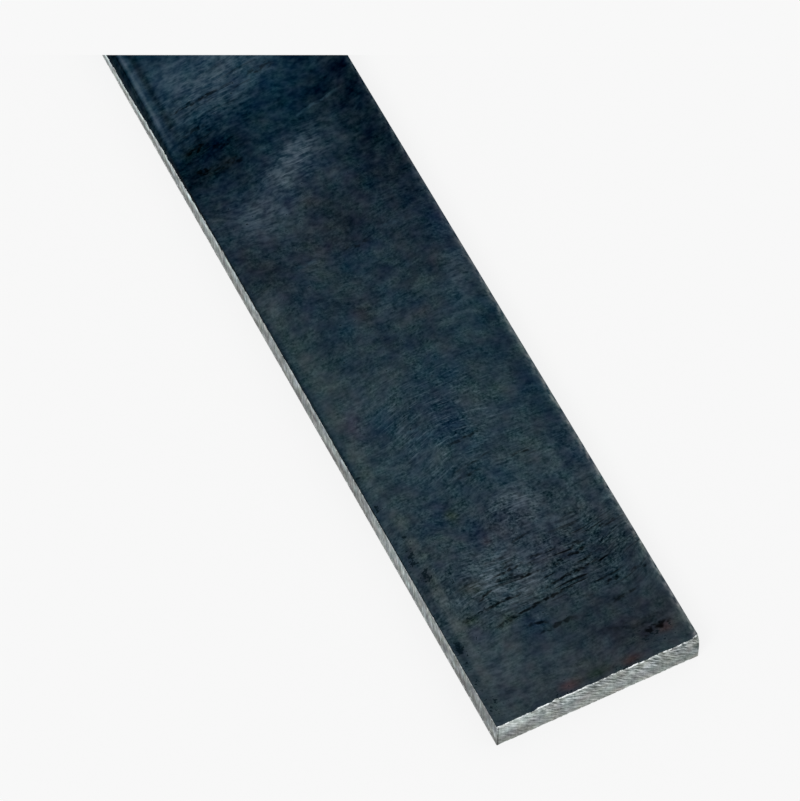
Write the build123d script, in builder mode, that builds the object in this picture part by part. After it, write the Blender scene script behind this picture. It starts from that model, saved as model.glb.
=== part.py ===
"""Hot-rolled steel flat bar, 50 x 8 mm in section, in a piece 1 m long with both ends cropped in a bar shear.

Millimetres. +X runs along the bar and +Z up through its thickness. The origin is on the underside, below the
middle of the bar. The side elevation, with the shape that the shear gives each end, is extruded across the
width, and the outer edges of both sides are then rounded.
"""

import os

from build123d import *

# The rolled section
width = 50.0
thickness = 8.0
arris_radius = 0.3  # the long corners, and the upright corners that they run into at the ends

# The piece
length = 1000.0

# The cropped ends. Where the shear takes hold it drags the edge over in a curve. It then burnishes a land
# square to the bar, and tears the rest, which leans back to a sharp edge where the burr hung.
drag_radius = 0.5
land_height = 3.5
tear_lean = 0.35

half_length = length / 2
half_thickness = thickness / 2

# Elevation of the +X half, about the bar's own centre: underside, dragged edge, land, tear and upper face.
with BuildSketch() as half_elevation:
    with BuildLine():
        drag_centre = (half_length - drag_radius, drag_radius - half_thickness)
        drag = CenterArc(drag_centre, drag_radius, start_angle=-90, arc_size=90)
        land = Line(drag @ 1, (half_length, drag_radius + land_height - half_thickness))
        tear = Line(land @ 1, (half_length - tear_lean, half_thickness))
        Polyline(tear @ 1, (0, half_thickness), (0, -half_thickness), drag @ 0)
    make_face()

# Whole elevation, on the +Y side: the far end is the same outline turned half a turn, because one side of a
# cut keeps its upper edge dragged and the other side its lower edge.
side_plane = Plane(origin=(0, width / 2, half_thickness), x_dir=(1, 0, 0), z_dir=(0, -1, 0))
with BuildSketch(side_plane) as elevation:
    with PolarLocations(0, 2):
        add(half_elevation.sketch)

with BuildPart() as flat_bar:
    extrude(elevation.sketch, amount=width)
    long_sides = flat_bar.faces().filter_by(Axis.Y)
    fillet(long_sides.edges(), arris_radius)

flat_bar.part.label = "flat_bar"
os.makedirs("parts", exist_ok=True)
export_step(flat_bar.part, "parts/flat_bar.step")
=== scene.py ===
"""Looks of the hot-rolled flat bar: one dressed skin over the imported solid, in the row frame.

The skin is shaped and coloured in millimetres. `u` runs along the bar from the near (+X) end, which the
camera sees, `v` across it from the -Y edge, and `down` from the upper face to the underside. The skin's
colours are written as they look on a screen, from 0 to 1.
"""

import functools
import math

import bpy
import numpy as np
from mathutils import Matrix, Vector


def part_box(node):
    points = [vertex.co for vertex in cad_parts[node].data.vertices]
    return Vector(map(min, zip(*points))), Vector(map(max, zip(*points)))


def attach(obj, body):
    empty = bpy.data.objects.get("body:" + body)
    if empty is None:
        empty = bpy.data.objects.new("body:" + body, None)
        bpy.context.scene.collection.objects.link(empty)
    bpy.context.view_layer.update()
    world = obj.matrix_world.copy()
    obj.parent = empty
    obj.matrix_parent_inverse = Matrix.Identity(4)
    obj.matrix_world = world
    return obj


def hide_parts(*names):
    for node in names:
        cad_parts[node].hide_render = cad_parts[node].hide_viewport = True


MM = 0.001

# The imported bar, in metres, and its three sizes in millimetres
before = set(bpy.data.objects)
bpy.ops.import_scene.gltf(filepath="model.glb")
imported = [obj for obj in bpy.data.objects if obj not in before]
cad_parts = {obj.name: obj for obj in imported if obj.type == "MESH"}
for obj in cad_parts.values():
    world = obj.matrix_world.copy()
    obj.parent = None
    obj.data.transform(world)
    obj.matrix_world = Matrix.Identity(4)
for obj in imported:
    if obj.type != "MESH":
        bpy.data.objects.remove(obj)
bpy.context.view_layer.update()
low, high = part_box("flat_bar")
LENGTH, WIDTH, THICKNESS = np.array(high - low) / MM

# Camera: where it stands and what it looks at, in millimetres past the near end, in from the -Y edge and
# above the floor, with its focal length and the sensor's width.
EYE = (482.72, -260.43, 986.42)
AIM = (-89.72, 20.55, 0)
LENS = 232.2
SENSOR = 36.0
# The photograph shows nothing of the bar above this row of its 801, and is blank there.
CUT_ROW = 55
ROWS = 801
CARD_DISTANCE = 10 * MM
CARD_MARGIN = 5  # how far the card reaches past the picture, in its rows

# Backdrop and light. The backdrop is a share of white light, not of a screen's white. A sun's azimuth is
# counted from +X towards +Y, and says where it stands.
BACKDROP = 0.9386
BACKDROP_COLOR = (BACKDROP, BACKDROP, BACKDROP, 1)
SHADOW_SHARE = 0.12  # how much of the floor's own shading the camera sees
SKY = 0.62
SUNS = {
    "key_sun": dict(azimuth=-60, elevation=52, strength=1.1, angle=25),
    "fill_sun": dict(azimuth=100, elevation=60, strength=0.35, angle=60),
}
FLOOR_HALF = 40.0  # in metres
FLOOR_DROP = 0.02 * MM
SCREEN_GAMMA = 2.2

# The skin's lattice: stations beside each edge, and the steps between them.
NEAR_EDGE = (0, 0.05, 0.1, 0.2, 0.35, 0.55, 0.8, 1.1, 1.5, 2, 2.5, 3, 3.5, 4, 4.5, 5)
SEEN = 210  # the camera sees this much of the bar
STEP_SEEN = 1.0
STEP_UNSEEN = 6
STEP_ACROSS = 0.8
STEP_DOWN = 0.5
SHARP_ANGLE = 40  # in degrees: the skin is smooth across any edge below it
TINY = 1e-9  # keeps the rounding from dividing by nought

# The cropped ends, each measured down from its torn edge. They blend into the bar over END_BLEND.
END_BLEND = 4
TEAR_DEPTH = 4.0
TEAR_LEAN = 0.3
LEAN_ACROSS = (4, 16)  # v, where the tear starts to lean and where it leans in full
TEAR_ROUGHNESS = 0.04
OUT_OF_SQUARE = 0.6  # how much further back the cut is at one long edge than at the other
TORN_EDGE_RADIUS = 0.05
DRAG_RADIUS = 0.12
DRAG_DEPTH = 7
KNOCK_DEPTH = 0.7  # of the near end's upper corner on the +Y side
KNOCK_ACROSS = 2.2
KNOCK_DOWN = 1.8
SHEAR_ANGLE = -40  # of the shear's marks on the ends, in degrees
NICK_DEPTH = 0.9
# Stretches of burrs that carry a painted highlight: v, and half the length. Nicks in the torn edge: v, half
# the length, how far in they go.
BURR_HIGHLIGHTS = [(2.2, 1.2), (11, 1.5), (18, 2.5), (34, 2.5), (44.5, 3)]
NICKS = [(14.3, 0.7, 0.2), (17.3, 0.5, 0.1), (28.4, 0.6, 0.15), (30.2, 0.5, 0.25), (40.2, 0.9, 0.15)]

# The -Y arris where it is rolled, in the far part: how far it stands in and down, and the groove beside it
ROLL_IN = 0.55
ROLL_DOWN = 0.35
ROLL_GROOVE = 0.15

# Along the sides: past PLACED_END the scale's border starts to wander at random, and from PLAIN_START on they
# look as they do on the length that nobody sees.
PLACED_END = 197
PLAIN_START = 260

# Random fields and draws
RIPPLE_WAVES = 24
SEEDS = {
    "near_tear": 11,
    "far_tear": 21,
    "grain": 31,
    "reach": 41,
    "side": 51,
    "highlight_below_scale": 57,
    "wear_and_highlight": 59,
    "upper_spots": 60,
    "under_spots": 80,
    "soft_spots": 20,
}

# The material's bump, in metres, and the export's texture map: the bar is cut into parts along its length,
# which lie in rows with a gap between them and a margin around them.
BUMP_DEPTH = 0.05 * MM
BAKE_PARTS = 3
BAKE_GAP = 1.5
BAKE_MARGIN = 1

# Colours of the mill scale, and of what lies on it. Some also serve as painted shade and painted highlights
# along the edges and on the burrs.
TINTS = {
    # soot: dark soot on the scale, and also the painted shade along the -Y edge
    "soot_and_shade": (0.03, 0.07, 0.09),
    "shade": (0.055, 0.10, 0.135),
    "umber": (0.13, 0.15, 0.165),
    # haze: the scale's haze, and also the painted highlight on the rolled ridge
    "haze_and_highlight": (0.36, 0.41, 0.45),
    "dust": (0.42, 0.43, 0.40),
    # worn: wear on the +Y edge, and the painted highlight along it
    "wear_and_highlight": (0.43, 0.45, 0.455),
    "stroke": (0.27, 0.37, 0.42),
    "teal": (0.10, 0.20, 0.26),
    "navy": (0.10, 0.16, 0.235),
    "moss": (0.20, 0.26, 0.27),
    "violet": (0.19, 0.19, 0.25),
    "rust": (0.26, 0.17, 0.165),
    "olive": (0.16, 0.20, 0.165),
    "brown": (0.20, 0.205, 0.22),
    # burr: the painted highlight on the burrs
    "burr": (0.93, 0.95, 0.95),
}

# The scale's colour along the bar: u, then the colour. Past TONE_END it runs back, and then on again, and the
# underside starts UNDER_SHIFT further along.
SCALE_TONE = [
    (0, (0.18, 0.22, 0.245)),
    (40, (0.17, 0.22, 0.25)),
    (75, (0.16, 0.22, 0.255)),
    (120, (0.145, 0.195, 0.23)),
    (146, (0.145, 0.195, 0.24)),
    (162, (0.095, 0.16, 0.205)),
    (174, (0.07, 0.15, 0.205)),
    (192, (0.15, 0.225, 0.28)),
]
TONE_END = 190
UNDER_SHIFT = 90

# Soft spots on the upper face: u, v, half their size along and across the bar, strength. These
# are the tints that lie over the scale's colour, each over those before it.
SPOTS = {
    "teal": [
        (68, 20, 12, 10, 0.2),
        (88, 29, 4, 6, 0.45),
        (82, 11, 3, 4, 0.45),
        (98, 44, 8, 5, 0.45),
        (108, 15.5, 2.5, 2.5, 0.4),
        (123, 27, 3, 5, 0.4),
        (112, 29, 3, 2.5, 0.35),
        (142, 29, 4, 4, 0.4),
        (57, 30.5, 2.5, 2.5, 0.5),
        (74, 47, 4, 3, 0.4),
        (176, 34, 7, 8, 0.45),
    ],
    "navy": [
        (18.5, 18.5, 3, 3.5, 0.6),
        (47.5, 17.5, 3, 2, 0.4),
        (54, 12, 2.5, 3, 0.45),
        (58, 46.5, 5, 2.5, 0.4),
        (77, 26, 5, 3.5, 0.45),
        (78, 45.5, 5, 2, 0.35),
        (118, 9.5, 5, 5, 0.35),
        (127, 28, 1.8, 4, 0.4),
        (126, 47.5, 8, 2.5, 0.6),
    ],
    "moss": [
        (95, 5, 24, 4, 0.5),
        (110, 3, 14, 2.2, 0.5),
        (80, 38, 4, 5, 0.5),
        (60, 39, 5, 4.5, 0.5),
        (68, 20, 2, 2, 0.4),
        (91, 17, 4, 5, 0.35),
        (121, 18, 4, 3, 0.4),
        (112, 37, 4, 2.5, 0.4),
        (140, 17, 3, 4, 0.35),
        (27, 11, 8, 8, 0.25),
        (98, 42, 6, 6, 0.2),
        (154, 38, 6, 3, 0.3),
    ],
    "violet": [
        (45, 25, 5, 6, 0.3),
        (36, 30, 4, 4, 0.3),
        (23, 6.5, 2, 1.5, 0.4),
        (10, 38, 5, 8, 0.3),
        (83, 6, 5, 2.5, 0.5),
        (172, 44, 7, 3, 0.45),
    ],
    "brown": [
        (4, 26, 4, 12, 0.3),
        (41.5, 42.5, 1.5, 1.8, 0.45),
        (104.5, 33.5, 1.5, 2, 0.45),
        (111, 21, 3, 2, 0.5),
        (115.5, 42, 1.5, 1.5, 0.45),
        (131, 22, 4, 6, 0.35),
        (143, 24, 2, 1.6, 0.4),
        (143, 44, 3, 2, 0.4),
    ],
    "olive": [
        (2.7, 26, 1.5, 2.5, 0.6),
        (26.5, 6.7, 1.2, 2.0, 0.5),
        (34, 10.5, 1.5, 2.0, 0.5),
        (23, 14.5, 1.2, 2.0, 0.4),
        (52.7, 15, 1.5, 1.2, 0.6),
    ],
    "umber": [(10, 39, 5, 9, 0.5), (131, 5, 8, 5, 0.4), (139, 29, 7, 7, 0.45)],
    "rust": [
        (6.3, 44.3, 1.0, 1.8, 0.55),
        (2.4, 19, 1.2, 2.2, 0.5),
        (2, 34, 1.2, 2.2, 0.5),
        (43, 19.2, 1, 1, 0.3),
    ],
    "shade": [
        (164, 8, 7, 11, 0.5),
        (150, 46, 14, 8, 0.65),
        (170, 47, 16, 6, 0.8),
        (171, 40, 7, 7, 0.6),
        (150, 3, 8, 4, 0.3),
        (128, 42, 12, 6, 0.15),
        (133, 29, 6, 6, 0.2),
        (14, 29, 5, 6, 0.25),
        (28, 42, 8, 6, 0.3),
        (85, 46, 26, 2.5, 0.2),
        (184, 43, 5, 6, 0.6),
    ],
    "soot_and_shade": [
        (161, 8, 1.4, 6, 0.4),
        (168, 6.5, 1.8, 4, 0.5),
        (160, 1.5, 3, 2.5, 0.4),
        (180, 11.5, 1.3, 8, 0.25),
        (172.5, 30, 1.5, 9, 0.15),
    ],
}
# Where dark spots of soot gather
SOOTY = [
    (4.5, 1.8, 3.5, 1.8, 0.4),
    (12, 1.3, 1.4, 1.0, 0.6),
    (17, 1.2, 0.9, 0.8, 0.7),
    (21.4, 1.6, 2.0, 1.2, 0.9),
    (37.2, 3.6, 0.6, 0.6, 0.7),
    (37.6, 7.5, 0.6, 0.6, 0.7),
    (41.0, 3.0, 1.3, 1.2, 1.0),
    (43.0, 3.7, 0.6, 0.6, 0.8),
    (45.2, 2.0, 0.9, 1.1, 0.9),
    (46.9, 2.2, 0.7, 1.0, 0.8),
    (48.6, 2.7, 0.9, 1.0, 0.9),
    (52.5, 3.3, 0.7, 0.9, 0.8),
    (61.6, 1.0, 0.9, 0.8, 0.9),
    (70.0, 0.8, 1.4, 0.7, 0.7),
    (44.9, 9.9, 0.7, 0.8, 0.8),
    (39.8, 11.2, 0.9, 1.0, 0.6),
    (23.2, 15.2, 0.9, 1.8, 0.6),
    (27.3, 8.5, 0.8, 2.2, 0.6),
    (0.8, 17, 0.9, 3, 0.5),
    (0.8, 31, 0.9, 3, 0.5),
    (6, 41, 2, 4, 0.4),
]
# Where the scale is hazy
HAZY = [
    (16, 7, 12, 7, 0.14),
    (8, 22, 6, 11, 0.08),
    (21, 42, 4, 5, 0.08),
    (34, 18, 7, 8, 0.3),
    (40, 33, 6, 8, 0.08),
    (48.8, 30.3, 2.2, 2.2, 0.5),
    (51.5, 29, 3.5, 6, 0.2),
    (56, 41, 5, 6, 0.1),
    (68, 17, 6, 6, 0.1),
    (73, 35, 3, 3, 0.12),
    (88, 12, 8, 8, 0.08),
    (87, 8.5, 2, 1.5, 0.2),
    (107.5, 27.5, 2.5, 4, 0.12),
    (101.5, 39, 2.5, 3, 0.12),
    (114, 46.5, 3.5, 2, 0.22),
    (109, 44.8, 4, 2, 0.25),
    (104, 42.8, 4, 2, 0.15),
    (122, 3.5, 3, 2, 0.15),
    (145, 12, 5, 7, 0.3),
    (144, 16.7, 3.5, 1, 0.3),
    (152.5, 21, 4, 4, 0.42),
    (157, 27, 4.5, 6.5, 0.42),
    (184, 17, 8, 13, 0.3),
    (191, 12, 4, 8, 0.2),
    (176, 6, 4, 5, 0.15),
]
# Where more dark streaks lie
STREAKED = [
    (30, 37, 9, 12, 1.2),
    (33, 18, 8, 10, 0.7),
    (47, 33, 4, 9, 0.5),
    (62, 38, 4, 5, 0.5),
    (165, 8, 6, 9, 0.8),
    (181, 18, 7, 16, 0.5),
    (110, 25, 30, 25, 0.2),
]
# Where more light scratches lie
SCRATCHED = [
    (76, 24, 13, 13, 0.95),
    (49.5, 29, 4, 5, 1.2),
    (32, 17, 8, 8, 1.3),
    (30, 35, 8, 9, 0.5),
    (154, 23, 6, 8, 0.5),
    (184, 17, 10, 15, 0.4),
]
# The longest streaks and strokes: u and v of one end, u and v of the other, half the width, strength. Those
# of one set keep a few millimetres from one another. A stroke counts no further off than STROKE_FAR.
STROKE_FAR = 9.0
STROKES = {
    "dark_a": [
        (22.3, 9, 25.3, 34, 0.5, 0.8),
        (27.4, 9, 28.3, 21, 0.5, 0.8),
        (31.6, 20, 31.3, 28.5, 0.5, 0.9),
        (31.3, 28.5, 32.5, 39, 0.5, 0.9),
        (35.4, 17, 35.5, 22, 0.4, 0.6),
        (35.8, 42, 36.6, 49, 0.45, 0.6),
        (17.3, 18, 17.3, 29, 0.7, 0.6),
        (17.0, 36, 18.2, 45, 0.6, 0.6),
        (11.0, 30, 9.2, 47, 1.2, 0.35),
        (40.6, 23, 41.1, 29, 0.4, 0.5),
        (60.5, 20, 60.9, 27, 0.4, 0.5),
        (69.3, 22, 70.2, 32, 0.6, 0.6),
        (180.1, 4, 182.1, 19.5, 0.6, 0.7),
        (162.0, 10, 161.6, 15.5, 1.0, 0.6),
        (128.0, 24, 127.4, 32, 0.9, 0.5),
    ],
    "dark_b": [
        (26.9, 24, 28.5, 40, 0.5, 0.9),
        (32.8, 15, 33.1, 22, 0.45, 0.6),
        (22.0, 37, 22.7, 42, 0.5, 0.7),
        (22.7, 43.5, 22.4, 49, 0.5, 0.6),
        (19.8, 17, 19.3, 22.5, 0.5, 0.7),
        (35.4, 24, 35.3, 33, 0.4, 0.6),
        (62.3, 20, 64.2, 31, 0.4, 0.5),
        (60.9, 33.5, 60.7, 40, 0.45, 0.6),
        (6.4, 38.5, 8.1, 47, 0.9, 0.8),
        (41.0, 34, 41.8, 41, 0.4, 0.4),
        (168.2, 3, 169.5, 10, 1.1, 0.8),
        (160.7, 5.5, 161.1, 11, 0.8, 0.6),
        (183.0, 25, 183.7, 34, 1.0, 0.5),
    ],
    "dark_c": [
        (34.1, 15, 34.9, 24.5, 0.45, 0.75),
        (30.3, 10, 31.4, 15.5, 0.5, 0.75),
        (29.0, 33.5, 30.6, 41, 0.45, 0.5),
        (33.6, 34, 34.4, 40, 0.45, 0.6),
        (38.3, 15, 38.0, 22, 0.4, 0.5),
        (22.4, 11.5, 23.5, 17.5, 0.8, 0.6),
        (26.6, 4.5, 27.2, 9, 0.7, 0.5),
        (172.8, 4, 174.3, 12, 0.7, 0.5),
        (167.3, 9, 166.7, 14.5, 0.8, 0.6),
        (162.0, 3, 161.7, 8, 1.0, 0.8),
    ],
    "light_a": [
        (166.5, 29, 169.9, 44, 0.5, 0.6),
        (161.0, 17, 163.2, 26, 0.9, 0.35),
        (76.2, 13, 76.9, 21, 0.5, 0.5),
        (66.5, 24.5, 67.4, 32, 0.6, 0.4),
        (71.0, 19, 71.4, 27, 0.4, 0.3),
        (129.8, 35, 130.2, 39.5, 0.5, 0.4),
        (127.7, 12.5, 127.9, 18.5, 0.7, 0.4),
        (32.1, 11.5, 32.3, 20, 0.4, 0.4),
        (36.6, 13.5, 36.9, 21, 0.6, 0.4),
        (26.2, 19, 26.6, 26, 0.4, 0.35),
        (176.8, 6, 177.7, 15, 1.0, 0.4),
    ],
    "light_b": [
        (73.9, 13.5, 74.1, 22, 0.5, 0.4),
        (74.7, 23.5, 72.5, 29.5, 0.4, 0.4),
        (29.2, 12.5, 29.8, 21, 0.4, 0.35),
        (39.3, 16.5, 39.6, 22.5, 0.7, 0.4),
        (178.3, 20.5, 181.8, 26, 0.9, 0.4),
    ],
}
# Marks on the side that the camera sees: u, down, half their size along and down, change of tone
MARKS = [
    (67, 4.1, 0.9, 0.8, -0.24),
    (92, 4.0, 1.2, 0.9, -0.22),
    (42.4, 6.6, 0.5, 0.7, -0.2),
    (93, 6.8, 0.8, 0.9, -0.15),
    (71.5, 6.9, 1.0, 0.8, -0.15),
    (124, 2.6, 0.5, 1.1, 0.3),
    (132.5, 4.2, 0.5, 1.3, 0.28),
    (96.3, 1.6, 0.6, 0.7, 0.22),
    (61, 1.8, 0.8, 0.9, 0.2),
    (46.5, 3.3, 0.8, 1.5, 0.14),
    (33, 2.3, 0.8, 1.5, 0.16),
    (22.5, 2.3, 0.8, 1.2, 0.14),
    (8.5, 3.2, 0.9, 1.6, 0.12),
    (56, 4.5, 3, 2.5, 0.06),
]


def fade(value, start, end):
    """Smoothly from 0 where value is start to 1 where it is end. Start may be the larger."""
    share = np.clip((value - start) / (end - start), 0, 1)
    return share * share * (3 - 2 * share)


def swell(value, centre, half):
    """1 at the centre, falling smoothly to about a third at this distance from it."""
    return np.exp(-(((value - centre) / half) ** 2))


def profile(place, *stops):
    """The value at each place, in straight lines between stops, each a place and its value."""
    return np.interp(place, *zip(*stops))


def ripple(seed, lengths, *coords):
    """A smooth random field of unit spread, whose waves have about these lengths along the coordinates."""
    rng = np.random.default_rng(seed)
    field = 0.0
    for _ in range(RIPPLE_WAVES):
        turns = 2 * math.pi / (np.array(lengths) * rng.uniform(0.6, 1.8, len(lengths)))
        signs = rng.choice((-1, 1), len(lengths))
        phase = rng.uniform(0, 2 * math.pi)
        field = field + np.cos(sum(t * s * c for t, s, c in zip(turns, signs, coords)) + phase)
    return field / math.sqrt(RIPPLE_WAVES / 2)


# The lattice and its shape


def stations(stops, steps):
    """Stations along one side of the bar: close beside both edges, and in these steps between the stops."""
    length = stops[-1]
    edge = [e for e in NEAR_EDGE if e <= length / 4]
    stops = [edge[-1], *stops[1:-1], length - edge[-1]]
    runs = [
        np.linspace(start, stop, math.ceil((stop - start) / step) + 1)[:-1]
        for start, stop, step in zip(stops, stops[1:], steps)
    ]
    return np.concatenate([edge[:-1], *runs, length - np.array(edge[::-1])])


def box_skin(axes):
    """The points and the outward quads of a box's surface, on the lattice of these stations."""
    counts = [len(axis) for axis in axes]
    grid = np.stack(np.meshgrid(*axes, indexing="ij"), axis=-1)
    outside = np.zeros(counts, bool)
    for axis in range(3):
        for side in (0, -1):
            np.moveaxis(outside, axis, 0)[side] = True
    number = np.full(counts, -1)
    number[outside] = np.arange(outside.sum())
    quads = []
    for axis in range(3):
        for side in (0, -1):
            sheet = np.moveaxis(number, axis, 0)[side]
            quad = np.stack([sheet[:-1, :-1], sheet[1:, :-1], sheet[1:, 1:], sheet[:-1, 1:]], axis=-1)
            outward = (side == -1) == (axis != 1)  # the corners run the other way round on axis 1
            quads.append(quad.reshape(-1, 4)[:, :: 1 if outward else -1])
    return grid[outside], np.concatenate(quads)


def from_end(u):
    """The distance from the nearer end."""
    return np.minimum(u, LENGTH - u)


def edge_radius(u, down):
    """The edges' radius at each point: sharp where an end is torn, larger where it is dragged."""
    arris = profile(from_end(u), (0, 0.1), (40, 0.15), (160, 0.25))
    below = np.where(u < LENGTH / 2, down, THICKNESS - down)
    end = TORN_EDGE_RADIUS + (DRAG_RADIUS - TORN_EDGE_RADIUS) * fade(below, TEAR_DEPTH, DRAG_DEPTH)
    return end + (arris - end) * fade(from_end(u), 0.5, 3)


def rounded(points, radius):
    """The box's points, moved onto the same box with rounded edges."""
    radius = radius[:, None]
    inner = np.clip(points, radius, np.array([LENGTH, WIDTH, THICKNESS]) - radius)
    away = points - inner
    return inner + away * radius / np.maximum(np.linalg.norm(away, axis=1, keepdims=True), TINY)


def torn_depth(v, below, seed):
    """How far a cropped end stands back: the tear leans, except near the -Y edge, and is rough and nicked."""
    torn = np.clip(1 - below / TEAR_DEPTH, 0, 1)
    rough = ripple(seed, (5, 3), v, below) + ripple(seed + 1, (1.8, 1.2), v, below)
    nicks = sum(depth * swell(v, at, half) for at, half, depth in NICKS)
    lean = TEAR_LEAN * fade(v, *LEAN_ACROSS) * torn + nicks * fade(below, NICK_DEPTH, 0)
    return OUT_OF_SQUARE * v / WIDTH + np.maximum(lean + TEAR_ROUGHNESS * torn**0.5 * rough, 0)


def knocked(v, below):
    """The near end's upper corner on the +Y side, which a knock has flattened."""
    return KNOCK_DEPTH * np.maximum(1 - np.hypot((WIDTH - v) / KNOCK_ACROSS, below / KNOCK_DOWN), 0)


def scale_reach(u, left):
    """How far the upper face's scale turns over the arris and down the left (-Y) side, or the right."""
    if left:
        stops = [
            (0, 0.3), (25, 0.75), (45, 0.85), (70, 1.1), (100, 1.1),
            (140, 1.45), (158, 2.1), (180, 3.2), (PLACED_END, 4.5),
        ]
    else:
        stops = [(0, 0), (60, 0.2), (200, 0.6)]
    seen = profile(u, *stops)
    unseen = np.maximum(1.8 + 1.6 * ripple(SEEDS["reach"] + left, (140,), u), 0.2)
    return seen + (unseen - seen) * fade(u, PLACED_END, PLAIN_START)


def shaped(u, v, down):
    """Where the skin's points lie once the edges are rounded, the ends torn and the arris rolled."""
    points = rounded(np.stack([u, v, down], axis=1), edge_radius(u, down))
    near = torn_depth(v, down, SEEDS["near_tear"]) + knocked(v, down)
    far = torn_depth(v, THICKNESS - down, SEEDS["far_tear"])
    points[:, 0] += near * fade(u, END_BLEND, 0) - far * fade(LENGTH - u, END_BLEND, 0)
    rolled = fade(scale_reach(u, True), 1.8, 4.2)
    points[:, 1] += ROLL_IN * rolled * fade(down, 2.6, 0) ** 2 * fade(v, 4, 0)
    sunk = ROLL_GROOVE * swell(v, 3.6, 0.7) + ROLL_DOWN * fade(v, 1.4, 0) ** 2
    points[:, 2] += rolled * sunk * fade(down, 2, 0)
    return points


# The fields that the material reads


def spread(u, v, spots):
    """The soft spots' strength at each point. Those in the far part lean along the bar."""
    field = np.zeros_like(u)
    for spot_u, spot_v, along, across, strength in spots:
        lean = profile(spot_u, (140, 0.05), (155, 0.4), (200, 0.3))
        away = ((u - spot_u - lean * (v - spot_v)) / along) ** 2 + ((v - spot_v) / across) ** 2
        field = np.maximum(field, strength * np.exp(-0.7 * away**1.2))
    return field


def scattered(spots, seed):
    """As many more spots like these as the bar has room for, at random places."""
    rng = np.random.default_rng(seed)
    count = round(len(spots) * LENGTH / SEEN)
    drawn = np.array(spots, float)[rng.integers(len(spots), size=count)]
    drawn[:, 0] = rng.uniform(0, LENGTH, count)
    drawn[:, 1] = rng.uniform(0, WIDTH, count)
    return drawn


def beyond(spots):
    """Those of the spots that lie past the part that the camera sees."""
    return spots[spots[:, 0] - spots[:, 2] > SEEN]


def spot_field(u, v, down, spots, seed):
    """The spots as placed on the upper face, and others like them on the length and the face nobody sees."""
    upper = np.concatenate([np.array(spots, float), beyond(scattered(spots, SEEDS["upper_spots"] + seed))])
    under = scattered(spots, SEEDS["under_spots"] + seed)
    return np.where(down < THICKNESS / 2, spread(u, v, upper), spread(u, v, under))


def stroke_field(u, v, down, strokes):
    """How far off along the bar the nearest stroke is, in its half widths, and how strong it is here."""
    nearest, offset = np.full_like(u, STROKE_FAR), np.full_like(u, STROKE_FAR)
    strength = np.zeros_like(u)
    for start_u, start_v, stop_u, stop_v, half, full in strokes:
        part = (v - start_v) / (stop_v - start_v)
        away = u - start_u - (stop_u - start_u) * part
        here = (np.abs(away) < nearest) & (part > -0.1) & (part < 1.1) & (down < THICKNESS / 2)
        nearest = np.where(here, np.abs(away), nearest)
        offset = np.where(here, away / half, offset)
        taper = np.clip(1 - (2 * part - 1) ** 4, 0, 1) * fade(np.abs(away), half + 1.5, half + 0.8)
        strength = np.where(here, full * taper, strength)
    return np.stack([offset, strength, np.zeros_like(u)], axis=1)


def scale_tone(u, v, down):
    """The scale's colour: its tone along the bar, with the spots and the long edges' bands over it, some of
    these bands painted shade and painted highlights.
    """
    wander = np.where(down < THICKNESS / 2, u, u + UNDER_SHIFT) % (2 * TONE_END)
    place = np.minimum(wander, 2 * TONE_END - wander)
    stops, tones = zip(*SCALE_TONE)
    tone = np.stack([np.interp(place, stops, channel) for channel in zip(*tones)], axis=1)
    layers = [(name, spot_field(u, v, down, spots, seed)) for seed, (name, spots) in enumerate(SPOTS.items())]
    for name, share in [*layers, *edge_bands(u, v, down)]:
        tone += (np.array(TINTS[name]) - tone) * share[:, None]
    return tone


def edge_bands(u, v, down):
    """The tints that follow the long edges of the upper face, with the share of each: dust, a painted
    highlight on the rolled ridge, a dark line and painted shade by the -Y edge, and wear with a painted
    highlight by the +Y edge.
    """
    # Painted highlight: a lighter band along the ridge beside the rolled -Y arris, in the far part.
    ridge_highlight = 0.5 * fade(u, 163, 186) * swell(v, 1.15, 0.6)
    bands = [
        ("dust", dust_band(u, v)),
        ("haze_and_highlight", ridge_highlight),
        # A dark line along the -Y edge, and painted shade beside it
        ("soot_and_shade", dark_line_and_shade_band(u, v, down)),
        # Wear and a painted highlight along the +Y edge
        ("wear_and_highlight", worn_and_highlit_band(u, v)),
    ]
    return [(name, share * (down < THICKNESS / 2)) for name, share in bands]


def dust_band(u, v):
    """The dusty band a few millimetres in from the -Y edge."""
    strength = profile(
        u, (0, 0), (6, 0.03), (12, 0.2), (30, 0.22), (50, 0.2), (60, 0.12),
        (70, 0.14), (85, 0.1), (100, 0.1), (115, 0.12), (130, 0),
    )
    middle = profile(u, (35, 3.5), (50, 4.3), (60, 3.8), (70, 2.6), (85, 3.6), (100, 3.6), (115, 3.0))
    half = profile(u, (55, 1.4), (62, 2.0))
    return strength * np.exp(-(((v - middle) / half) ** 4))


def dark_line_and_shade_band(u, v, down):
    """The dark line along the -Y edge, with painted shade on the scale that turns over it and in the groove
    beside it further on.
    """
    rolled = fade(scale_reach(u, True), 1.9, 3.2)
    border = profile(u, (62, 0), (70, 0.4), (105, 0.4), (128, 0.1), (160, 0.1), (172, 0.5), (200, 0.9))
    line = border * swell(v - down, 0, 0.4) + 0.15 * swell(u, 20, 7) * swell(v, 1.2, 0.8)
    # Painted shade: the scale turned down over the -Y arris is darkened.
    turned_shade = (0.72 - 0.1 * rolled) * fade(v - down, 0.15, -0.5)
    # Painted shade in the groove beside the rolled arris.
    groove_shade = 0.5 * rolled * swell(v, 3.8, 0.9)
    return np.max([line, turned_shade, groove_shade], axis=0)


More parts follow.
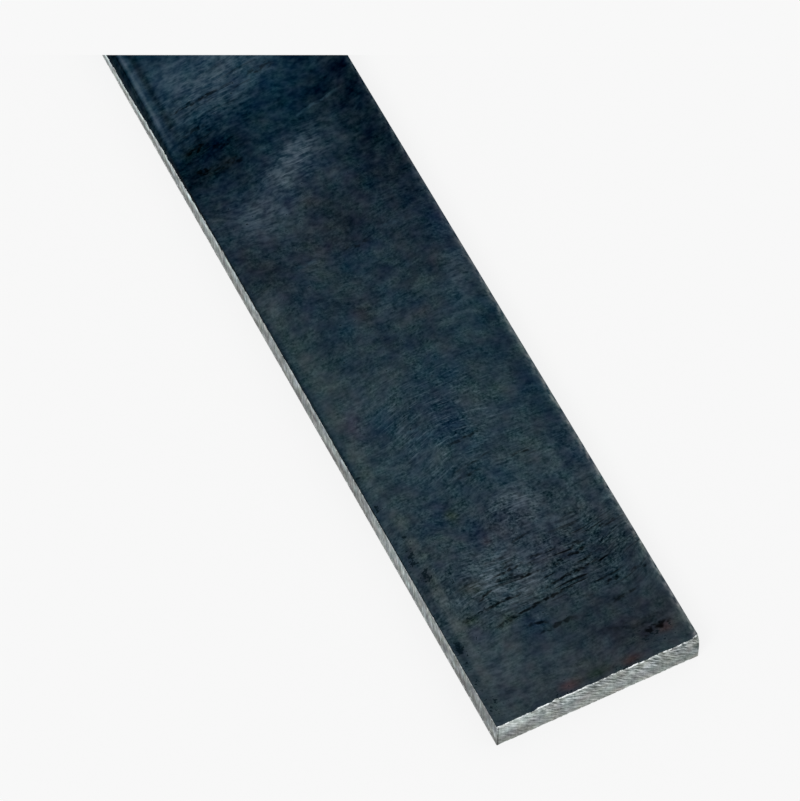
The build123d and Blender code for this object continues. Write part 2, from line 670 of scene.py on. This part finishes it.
def worn_and_highlit_band(u, v):
    """The uneven light line along the +Y edge, part wear and part a painted highlight where the rounded arris
    catches the light, fainter in the far part.
    """
    inward = WIDTH - v
    strength = profile(u, (0, 1), (100, 0.9), (130, 0.45), (200, 0.35))
    uneven = np.clip(0.9 + 0.5 * ripple(SEEDS["wear_and_highlight"], (4, 1.5), u, v), 0.1, 1.6)
    return strength * uneven * (0.28 * fade(inward, 2.0, 0.8) + 0.5 * fade(inward, 1.2, 0.2))


def bare_distance(u, v, down):
    """Millimetres past the scale's border, along the skin: positive on bare metal."""
    rise = THICKNESS - down
    left, right = down - v - scale_reach(u, True), down - (WIDTH - v) - scale_reach(u, False)
    upper = np.max([left, right, down - from_end(u) + 0.15], axis=0)
    lower = np.maximum(rise - np.minimum(v, WIDTH - v) - 0.3, rise - from_end(u) + 0.1)
    return np.minimum(upper, lower)


def end_share(u):
    """1 on the two end faces, and 0 on the long ones."""
    return fade(from_end(u), 0.6, 0)


def by_face(u, side, end):
    """The first value on the long faces, and the second on the two end faces."""
    return side + (end - side) * end_share(u)


def rim_highlight_field(u, v):
    """How thickly painted highlights on burrs lie along the scale's border: in stretches on the ends and the
    -Y side.
    """
    end = 0.4 + sum(swell(v, at, half) for at, half in BURR_HIGHLIGHTS)
    side = profile(u, (25, 0.4), (140, 0.2), (165, 0.9), (SEEN, 0.9), (PLAIN_START, 0.3)) * (v < WIDTH / 2)
    return by_face(u, side, end)


def ragged_field(u, v):
    """How far the scale's border wanders: a little on the ends, more where it is rolled over the side."""
    side = profile(u, (0, 1.0), (60, 1.2), (130, 2.0), (165, 3.5), (SEEN, 3.5), (PLAIN_START, 2.0))
    return by_face(u, side, 0.25 + 0.15 * rim_highlight_field(u, v))


def contrast_field(u, v, down):
    """How strongly the bare metal is mottled, tinged and lined: mottled on the sides, lined on the ends."""
    seen = fade(u, PLAIN_START, SEEN) * (v < WIDTH / 2)
    mottled = by_face(u, 1.0 + 0.55 * seen, 0.4)
    tinged = by_face(u, 1.0 + 0.5 * seen, 0.9)
    lined = by_face(u, 0.25, 1.25 + fade(down, 5.5, 1.5) * fade(v, 5, 12))
    return np.stack([mottled, tinged, lined], axis=1)


def metal_tone(u, v, down):
    """The bare metal's colour: colder on the sides than on the ends, and a little warmer low down."""
    light = by_face(u, side_tone(u, v, down), end_tone(v, down))
    corner_line = 0.6 * end_share(u) * swell(v, 0.2, 0.15)
    light *= 1 - corner_line
    warm = fade(THICKNESS - down, 2.5, 0.5)[:, None] * np.array([0.008, 0.0, -0.012])
    cold = (1 - end_share(u))[:, None] * np.array([-0.04, -0.008, -0.002])
    return light[:, None] * (np.array([0.965, 1.01, 1.0]) + cold) + warm


def side_tone(u, v, down):
    """How light the sides are: darker low down, with slow changes along the bar and single marks."""
    level = profile(
        THICKNESS - down,
        (0, 0.34), (0.4, 0.39), (1.0, 0.37), (1.6, 0.34), (2.5, 0.40), (4.0, 0.45), (6.0, 0.43), (8.0, 0.42),
    )
    slow = profile(
        u, (15, -0.04), (30, 0.02), (50, 0.09), (65, 0.0),
        (100, 0.02), (130, 0.03), (150, 0.07), (170, 0.0), (190, 0.08),
    )
    return level + slow + 0.05 * ripple(SEEDS["side"], (16, 9, 7), u, v, down) + side_marks(u, v, down)


def end_tone(v, down):
    """How light the cropped ends are: dark at the dragged lower edge, and lightest high up by the -Y edge."""
    rise = THICKNESS - down
    tone = profile(rise, (0, 0.36), (0.3, 0.46), (0.8, 0.52), (3.0, 0.53), (6.0, 0.58), (8.0, 0.61))
    tone += 0.12 * fade(v, 11, 6) * fade(down, 4.0, 2.5)
    tone -= 0.06 * fade(v, 34, 42)
    tone += 0.08 * fade(rise, 1.8, 0.8) * fade(v, 15, 36)
    tone -= 0.05 * swell(rise, 2.3, 1.0) * fade(v, 11, 6)
    return tone


def side_marks(u, v, down):
    """Changes of tone on the seen side: a painted highlight in a band below the scale, and single marks and
    chips.
    """
    # Painted highlight along the side, just below the scale's border.
    highlight_below_scale = profile(u, (0, 0.02), (60, 0.05), (120, 0.09), (150, 0.2), (200, 0.24))
    highlight_below_scale *= 1 + 0.6 * ripple(SEEDS["highlight_below_scale"], (6, 2), u, down)
    change = highlight_below_scale * swell(down - scale_reach(u, True), 0.9, 0.8)
    for at, deep, along, across, tone in MARKS:
        change += tone * swell(u, at, along) * swell(down, deep, across)
    return change * (v < WIDTH / 2)


def lively_field(u):
    """How strong the scale's fine, middling and broad patterns are along the bar."""
    fine = profile(u, (18, 0.75), (32, 1.7), (50, 1.4), (70, 1.0), (130, 1.0), (150, 0.75), (175, 0.4))
    middle = profile(
        u, (0, 0.6), (18, 0.55), (32, 1.1), (50, 0.95), (70, 0.65), (130, 0.72), (150, 0.85), (200, 0.9)
    )
    broad = profile(u, (18, 1.0), (32, 1.1), (50, 1.2), (70, 1.0), (130, 1.1), (150, 1.3), (200, 1.5))
    return np.stack([fine, middle, broad], axis=1)


def grain_line(u, v):
    """The distance along the bar at which the scratch through each point starts.

    For each millimetre across the bar a scratch leans a little along it, by `lean` in the middle and by `bow`
    more, or less, at the long edges.
    """
    across = v - WIDTH / 2
    lean = profile(
        u, (0, 0.0), (15, 0.05), (28, 0.1), (38, 0.02), (60, 0.05), (140, 0.04), (165, 0.08), (185, 0.12)
    )
    bow = profile(u, (0, 0.0), (22, 0.15), (38, 0.0), (60, -0.15), (75, -0.2), (95, -0.05), (120, 0.0))
    return u - lean * across - bow * across**2 / WIDTH + 0.6 * ripple(SEEDS["grain"], (70, 30), u, v)


# The bar's mesh


def bake_map(points, quads):
    """A map for the export's textures: the skin in strips, so that the long bar fills a square."""
    u, v, down = (points[quads, i] for i in range(3))
    strip = LENGTH / BAKE_PARTS
    part = np.minimum(u.mean(axis=1) // strip, BAKE_PARTS - 1)
    across, row = np.zeros_like(u), np.zeros(len(quads))
    along = u - part[:, None] * strip
    side_face = np.ptp(v, axis=1) == 0
    end_face = np.ptp(u, axis=1) == 0
    broad_face = ~side_face & ~end_face
    low_face = down.mean(axis=1) > THICKNESS / 2
    right_face = v.mean(axis=1) > WIDTH / 2
    far_face = u.mean(axis=1) > LENGTH / 2
    broad, thin = WIDTH + BAKE_GAP, THICKNESS + BAKE_GAP
    sides_start, ends_start = 2 * BAKE_PARTS * broad, 2 * BAKE_PARTS * (broad + thin)
    row[broad_face] = ((part + low_face * BAKE_PARTS) * broad)[broad_face]
    across[broad_face] = v[broad_face]
    row[side_face] = (sides_start + (part + right_face * BAKE_PARTS) * thin)[side_face]
    across[side_face] = down[side_face]
    row[end_face] = ends_start
    across[end_face] = down[end_face]
    along[end_face] = (v + far_face[:, None] * (WIDTH + 2 * BAKE_MARGIN))[end_face]
    whole = ends_start + thin
    return np.stack([along + BAKE_MARGIN, across + row[:, None] + BAKE_MARGIN], axis=-1) / whole


def skin_fields(u, v, down):
    """What the material reads at each of the mesh's points, by name."""
    fields = {
        "scale_tone": scale_tone(u, v, down),
        "metal_tone": metal_tone(u, v, down),
        "skin": np.stack([grain_line(u, v), v, down], axis=1),
        "bare": bare_distance(u, v, down),
        "lively": lively_field(u),
        "burred": rim_highlight_field(u, v),
        "ragged": ragged_field(u, v),
        "contrast": contrast_field(u, v, down),
    }
    soft = {"sooty": SOOTY, "hazy": HAZY, "streaked": STREAKED, "scratched": SCRATCHED}
    for seed, (name, spots) in enumerate(soft.items(), start=SEEDS["soft_spots"]):
        fields[name] = spot_field(u, v, down, spots, seed)
    for name, strokes in STROKES.items():
        fields[name] = stroke_field(u, v, down, strokes)
    return fields


def write_field(mesh, name, values):
    """Stores a number or a vector for each of the mesh's points."""
    kind, slot = ("FLOAT_VECTOR", "vector") if values.ndim == 2 else ("FLOAT", "value")
    data = mesh.attributes.new(name, kind, "POINT").data
    data.foreach_set(slot, np.ascontiguousarray(values, np.float32).ravel())


def make_bar():
    """The dressed bar: its shaped skin, with the fields that its material reads."""
    cuts = [LENGTH * part / BAKE_PARTS for part in range(1, BAKE_PARTS)]  # the texture map's
    along = stations([0, SEEN, *cuts, LENGTH], [STEP_SEEN] + [STEP_UNSEEN] * BAKE_PARTS)
    across, through = stations([0, WIDTH], [STEP_ACROSS]), stations([0, THICKNESS], [STEP_DOWN])
    points, quads = box_skin([along, across, through])
    u, v, down = points.T
    corner = np.array([high.x, low.y, high.z]) / MM
    verts = (corner + shaped(u, v, down) * (-1, 1, -1)) * MM
    mesh = bpy.data.meshes.new("dressed_bar")
    mesh.from_pydata(verts.tolist(), [], quads.tolist())
    mesh.shade_smooth()
    mesh.set_sharp_from_angle(angle=math.radians(SHARP_ANGLE))
    mesh.uv_layers.new(name="OFBake").uv.foreach_set("vector", bake_map(points, quads).ravel())
    for name, values in skin_fields(u, v, down).items():
        write_field(mesh, name, values)
    mesh.materials.append(steel_material())
    bar = bpy.data.objects.new("dressed_bar", mesh)
    bpy.context.scene.collection.objects.link(bar)
    return bar


# Materials


class Nodes:
    """A node tree, with one short call for each kind of node used here."""

    def __init__(self, tree):
        self.tree = tree
        tree.nodes.clear()

    def add(self, kind, inputs=None, **settings):
        """A node with these settings, its inputs set or linked."""
        node = self.tree.nodes.new(kind)
        for name, value in settings.items():
            setattr(node, name, value)
        for name, value in (inputs or {}).items():
            if isinstance(value, bpy.types.NodeSocket):
                self.tree.links.new(value, node.inputs[name])
            else:
                node.inputs[name].default_value = value
        return node

    def math(self, operation, *values):
        """The result of this operation on numbers."""
        return self.add("ShaderNodeMath", dict(enumerate(values)), operation=operation).outputs[0]

    def vector(self, operation, *values):
        """The result of this operation on vectors."""
        return self.add("ShaderNodeVectorMath", dict(enumerate(values)), operation=operation).outputs[0]

    def total(self, *values):
        """The sum of these numbers."""
        return functools.reduce(lambda a, b: self.math("ADD", a, b), values)

    def product(self, *values):
        """The product of these numbers."""
        return functools.reduce(lambda a, b: self.math("MULTIPLY", a, b), values)

    def largest(self, *values):
        """The largest of these numbers."""
        return functools.reduce(lambda a, b: self.math("MAXIMUM", a, b), values)

    def sum(self, *vectors):
        """The sum of these vectors."""
        return functools.reduce(lambda a, b: self.vector("ADD", a, b), vectors)

    def field(self, name):
        """A number that the mesh holds for each point."""
        return self.add("ShaderNodeAttribute", attribute_name=name).outputs["Fac"]

    def vector_field(self, name):
        """A vector that the mesh holds for each point."""
        return self.add("ShaderNodeAttribute", attribute_name=name).outputs["Vector"]

    def parts(self, vector):
        """The vector's three numbers."""
        return self.add("ShaderNodeSeparateXYZ", {0: vector}).outputs

    def noise(self, place, sizes, detail=2.0, roughness=0.6, shift=0.0):
        """Noise about 0.5, with features of about these sizes. The shift sets it off from other noises."""
        inputs = {0: place, 1: [1 / size for size in sizes], 2: (shift, shift, shift)}
        place = self.add("ShaderNodeVectorMath", inputs, operation="MULTIPLY_ADD").outputs[0]
        inputs = {"Vector": place, "Scale": 1.0, "Detail": detail, "Roughness": roughness}
        return self.add("ShaderNodeTexNoise", inputs).outputs["Fac"]

    def fade(self, value, start, end, low=0.0, high=1.0):
        """Smoothly from low where value is start to high where it is end."""
        inputs = {"Value": value, "From Min": start, "From Max": end, "To Min": low, "To Max": high}
        return self.add("ShaderNodeMapRange", inputs, interpolation_type="SMOOTHSTEP").outputs[0]

    def layer(self, noise, red, green, blue):
        """Noise as a vector, centred on nought and as strong in each part as these."""
        return self.vector("MULTIPLY_ADD", noise, (red, green, blue), (-red / 2, -green / 2, -blue / 2))

    def grey_layer(self, noise, strength):
        """Noise as a vector, centred on nought and as strong as this in all three parts."""
        return self.layer(noise, strength, strength, strength)

    def mix(self, share, first, second):
        """The first vector, moved by a share of the way to the second."""
        return self.add("ShaderNodeMix", {0: share, 4: first, 5: second}, data_type="VECTOR").outputs[1]

    def lit(self, color):
        """The light that a screen colour stands for."""
        color = self.vector("MAXIMUM", color, (0, 0, 0))
        return self.add("ShaderNodeGamma", {"Color": color, "Gamma": SCREEN_GAMMA}).outputs[0]


def new_material(name):
    """A material without nodes yet, and its node tree."""
    material = bpy.data.materials.new(name)
    material.use_nodes = True
    return material, Nodes(material.node_tree)


def steel_material():
    """Mill scale over bare steel: dark and scratched on the broad faces, bare and bright on the cut ones."""
    material, n = new_material("steel")
    skin = n.vector_field("skin")
    wander = n.noise(skin, (1.6, 1.6, 1.6), detail=3.0, roughness=0.8)
    bare = n.total(n.field("bare"), n.product(n.total(wander, -0.5), n.field("ragged")))
    is_bare = n.fade(bare, -0.06, 0.06)
    scale, scale_height = scale_look(n, skin)
    metal, metal_height = metal_look(n, skin, bare)
    height = n.total(n.product(is_bare, metal_height), scale_height, n.product(is_bare, -1.0))
    bump = n.add("ShaderNodeBump", {"Height": height, "Strength": 0.5, "Distance": BUMP_DEPTH})
    inputs = {
        "Base Color": n.lit(n.mix(is_bare, scale, metal)),
        "Metallic": n.fade(is_bare, 0.0, 1.0, 0.04, 0.95),
        "Roughness": n.fade(height, -0.5, 1.5, 0.5, 0.36),
        "Specular IOR Level": 0.0,
        "Normal": bump.outputs[0],
    }
    shader = n.add("ShaderNodeBsdfPrincipled", inputs)
    n.add("ShaderNodeOutputMaterial", {"Surface": shader.outputs[0]})
    return material


def scale_look(n, skin):
    """Colour and height of the mill scale."""
    speck = n.noise(skin, (0.55, 0.7, 0.7))
    brush = n.noise(skin, (0.5, 4.5, 4.5), roughness=0.7, shift=3.0)
    grain = n.noise(skin, (1.1, 1.8, 1.8), detail=1.0, shift=2.0)
    stroke = n.noise(skin, (2.0, 5.5, 5.5), shift=12.0)
    color = scale_color(n, skin, speck, brush, grain, stroke)
    scratched = n.field("scratched")
    texture = n.fade(n.total(grain, stroke, brush, -1.5), -0.3, 0.3, 0.45, 1.55)
    scratches = n.product(n.fade(brush, 0.56, 0.68), scratched, 0.5)
    color = n.mix(n.total(n.product(n.field("hazy"), texture), scratches), color, TINTS["haze_and_highlight"])
    light = n.largest(*(placed_strokes(n, skin, name) for name in ("light_a", "light_b")))
    color = n.mix(n.product(light, 0.6), color, TINTS["stroke"])
    streaks = n.product(streak_lines(n, skin), n.field("streaked"), 0.8)
    dark = n.largest(*(placed_strokes(n, skin, name) for name in ("dark_a", "dark_b", "dark_c")), streaks)
    color = n.vector("MULTIPLY", color, n.fade(dark, 0.0, 1.0, 1.0, 0.35))
    clumps = n.product(n.total(grain, speck, -1.0), 1.8)
    soot_and_shade = n.fade(n.total(n.field("sooty"), clumps), 0.45, 0.8, 0.0, 0.7)
    color = n.mix(soot_and_shade, color, TINTS["soot_and_shade"])
    return color, n.total(speck, grain, n.product(dark, -0.4))


def scale_color(n, skin, speck, brush, grain, stroke):
    """The scale's own colour, with its fine, middling and broad patterns and its slow changes of hue."""
    cloud = n.noise(skin, (5.0, 7.0, 7.0), roughness=0.7, shift=4.0)
    warmth = n.noise(skin, (5.0, 5.0, 5.0), detail=1.0, shift=6.0)
    green = n.noise(skin, (4.0, 4.0, 4.0), detail=1.0, shift=8.0)
    fine_share, middle_share, broad_share = n.parts(n.vector_field("lively"))
    busy = n.total(n.product(n.field("streaked"), 0.5), n.field("scratched"), fine_share)
    busy = n.product(busy, n.fade(green, 0.36, 0.64, 0.55, 1.45))
    fine = n.sum(n.grey_layer(speck, 0.15), n.grey_layer(brush, 0.07))
    broad = n.sum(n.grey_layer(stroke, 0.08), n.layer(cloud, 0.16, 0.145, 0.12))
    return n.sum(
        n.vector_field("scale_tone"),
        n.vector("MULTIPLY", fine, busy),
        n.vector("MULTIPLY", n.grey_layer(grain, 0.18), middle_share),
        n.vector("MULTIPLY", broad, broad_share),
        n.layer(warmth, 0.03, 0.0, -0.03),
        n.layer(green, -0.02, 0.035, 0.0),
    )


def placed_strokes(n, skin, name):
    """The placed strokes of one set, uneven in width and strength."""
    offset, strength, _ = n.parts(n.vector_field(name))
    sway = n.noise(skin, (2.0, 2.5, 2.5), detail=1.0, shift=21.0)
    wear = n.noise(skin, (1.0, 1.6, 1.6), detail=1.0, shift=23.0)
    away = n.math("ABSOLUTE", n.total(offset, n.product(n.total(sway, -0.5), 3.0)))
    return n.product(n.fade(away, 1.2, 0.4), strength, n.fade(wear, 0.38, 0.58, 0.3, 1.0))


def streak_lines(n, skin):
    """Thin dark streaks across the bar, in patches: the peaks of a drawn-out noise."""
    weave = n.noise(skin, (0.9, 14.0, 14.0), detail=1.0, roughness=0.5, shift=7.0)
    patches = n.noise(skin, (3.0, 7.0, 7.0), detail=1.0, shift=9.0)
    return n.product(n.fade(weave, 0.55, 0.65), n.fade(patches, 0.4, 0.54))


def metal_look(n, skin, bare):
    """Colour and height of the bare steel, with painted highlights on the burrs along the scale's border."""
    inputs = {"Vector": skin, "Angle": math.radians(SHEAR_ANGLE)}
    slanted = n.add("ShaderNodeVectorRotate", inputs, rotation_type="X_AXIS").outputs[0]
    marks = n.noise(slanted, (4.0, 2.6, 0.35), shift=15.0)
    speck = n.noise(skin, (0.4, 0.55, 3.2), shift=11.0)
    mottle = n.noise(skin, (1.8, 3.0, 3.5), roughness=0.5, shift=13.0)
    hue = n.noise(skin, (2.5, 4.0, 4.0), detail=1.0, shift=5.0)
    green = n.noise(skin, (2.5, 3.5, 3.5), detail=1.0, shift=17.0)
    texture = n.sum(n.grey_layer(speck, 0.6), n.grey_layer(mottle, 0.45))
    tints = n.sum(n.layer(hue, -0.05, 0.0, 0.05), n.layer(green, -0.015, 0.04, -0.015))
    mottled, tinged, lined = n.parts(n.vector_field("contrast"))
    color = n.sum(
        n.vector_field("metal_tone"),
        n.vector("MULTIPLY", texture, mottled),
        n.vector("MULTIPLY", n.grey_layer(marks, 0.7), lined),
        n.vector("MULTIPLY", tints, tinged),
    )
    # Painted highlight: near-white glints where burrs along the scale's border catch the light.
    flakes = n.noise(skin, (1.2, 1.2, 0.5), detail=3.0, roughness=0.7, shift=9.0)
    flakes = n.fade(n.total(flakes, n.product(n.field("burred"), 0.12)), 0.56, 0.64)
    rim_highlight = n.product(flakes, n.fade(bare, 0.6, 0.3))
    return n.mix(rim_highlight, color, TINTS["burr"]), n.total(speck, mottle)


# The stage


def make_camera():
    """The camera, at the photograph's angle."""
    data = bpy.data.cameras.new("camera")
    data.lens = LENS
    data.sensor_width = SENSOR
    data.clip_start = CARD_DISTANCE / 2
    camera = bpy.data.objects.new("camera", data)
    bpy.context.scene.collection.objects.link(camera)
    edge = np.array([high.x, low.y, low.z])
    eye = edge + np.array(EYE) * MM
    away = eye - edge - np.array(AIM) * MM
    heading = math.atan2(away[1], away[0])
    pitch = math.atan2(away[2], math.hypot(away[0], away[1]))
    camera.location = eye
    camera.rotation_euler = (math.pi / 2 - pitch, 0, heading + math.pi / 2)
    bpy.context.scene.camera = camera
    return camera


def staged_sheet(name, corners, shader_of):
    """A flat sheet that is part of the stage, in a material whose one shader the function makes."""
    material, n = new_material(name)
    n.add("ShaderNodeOutputMaterial", {"Surface": shader_of(n)})
    mesh = bpy.data.meshes.new(name)
    mesh.from_pydata(corners, [], [(0, 1, 2, 3)])
    mesh.materials.append(material)
    sheet = bpy.data.objects.new(name, mesh)
    bpy.context.scene.collection.objects.link(sheet)
    return sheet


def make_card(camera):
    """A small card close before the lens, blank as the backdrop, that hides what the photograph cuts off."""
    bpy.context.view_layer.update()
    pixel = CARD_DISTANCE * SENSOR / LENS / ROWS
    top, bottom = (ROWS / 2 + CARD_MARGIN) * pixel, (ROWS / 2 - CUT_ROW) * pixel
    corners = [(x, y, -CARD_DISTANCE) for x, y in ((-top, bottom), (top, bottom), (top, top), (-top, top))]
    card = staged_sheet("card", [camera.matrix_world @ Vector(corner) for corner in corners], card_shader)
    card.visible_diffuse = card.visible_glossy = card.visible_transmission = card.visible_shadow = False


def card_shader(n):
    """The backdrop's colour, whatever the light."""
    return n.add("ShaderNodeEmission", {"Color": BACKDROP_COLOR}).outputs[0]


def seen_directly(n):
    """1 for what the camera sees, itself or in a reflection, and 0 for light that falls on things."""
    path = n.add("ShaderNodeLightPath").outputs
    seen = n.total(path["Is Camera Ray"], path["Is Glossy Ray"], path["Is Transmission Ray"])
    return n.math("MINIMUM", seen, 1.0)


def make_world():
    """Even light from all round, and the pale backdrop where the camera sees past the floor."""
    world = bpy.data.worlds.new("studio")
    world.use_nodes = True
    n = Nodes(world.node_tree)
    strength = n.math("MULTIPLY_ADD", seen_directly(n), BACKDROP - SKY, SKY)
    sky = n.add("ShaderNodeBackground", {"Color": (1, 1, 1, 1), "Strength": strength})
    n.add("ShaderNodeOutputWorld", {"Surface": sky.outputs[0]})
    world.cycles.sampling_method = "NONE"
    bpy.context.scene.world = world


def make_suns():
    """The two soft lamps."""
    for name, sun in SUNS.items():
        data = bpy.data.lights.new(name, "SUN")
        data.energy = sun["strength"]
        data.angle = math.radians(sun["angle"])
        lamp = bpy.data.objects.new(name, data)
        lamp.rotation_euler = (math.radians(90 - sun["elevation"]), 0, math.radians(sun["azimuth"] + 90))
        bpy.context.scene.collection.objects.link(lamp)


def floor_shader(n):
    """The backdrop's colour, with only a share of the shadow that the bar throws on it."""
    lit = n.add("ShaderNodeBsdfDiffuse", {"Color": BACKDROP_COLOR})
    flat = n.add("ShaderNodeEmission", {"Color": BACKDROP_COLOR})
    share = n.product(seen_directly(n), 1 - SHADOW_SHARE)
    return n.add("ShaderNodeMixShader", {0: share, 1: lit.outputs[0], 2: flat.outputs[0]}).outputs[0]


def make_floor():
    """The pale floor that the bar lies on."""
    half, height = FLOOR_HALF, low.z - FLOOR_DROP
    corners = [(-half, -half, height), (half, -half, height), (half, half, height), (-half, half, height)]
    floor = staged_sheet("floor", corners, floor_shader)
    floor.data.materials[0].cycles.emission_sampling = "NONE"


make_card(make_camera())
make_world()
make_suns()
make_floor()
bpy.context.scene.view_settings.view_transform = "Standard"

bar = make_bar()
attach(bar, "root")
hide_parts("flat_bar")
